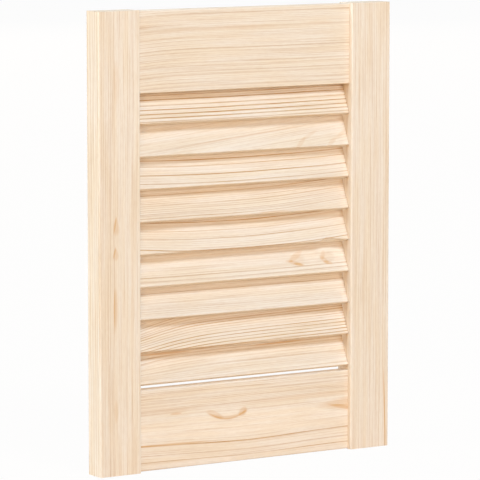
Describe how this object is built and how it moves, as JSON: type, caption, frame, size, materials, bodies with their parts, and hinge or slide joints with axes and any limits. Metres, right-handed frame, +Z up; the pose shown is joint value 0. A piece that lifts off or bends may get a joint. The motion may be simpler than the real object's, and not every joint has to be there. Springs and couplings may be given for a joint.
{
  "type": "louvred cabinet door",
  "caption": "Louvred pine cabinet door: stiles and recessed rails joined by dowels around a row of fixed slats that slope down to the front and let air through.",
  "frame": {"origin": "bottom centre of the door, on the plane of the stiles' bottom ends", "axes": "+Z up along the stiles, +X to the right seen from the front, the front face towards -Y"},
  "size_m": [0.294, 0.021, 0.395],
  "materials": {
    "pine": "bare planed pine",
    "beech": "bare turned beech"
  },
  "bodies": {
    "root": {"left_stile": "pine", "right_stile": "pine", "top_rail": "pine", "bottom_rail": "pine", "slat_1": "pine", "slat_2": "pine", "slat_3": "pine", "slat_4": "pine", "slat_5": "pine", "slat_6": "pine", "slat_7": "pine", "slat_8": "pine", "slat_9": "pine", "dowel_top_left_upper": "beech", "dowel_top_left_lower": "beech", "dowel_top_right_upper": "beech", "dowel_top_right_lower": "beech", "dowel_bottom_left_upper": "beech", "dowel_bottom_left_lower": "beech", "dowel_bottom_right_upper": "beech", "dowel_bottom_right_lower": "beech"}
  },
  "joints": []
}
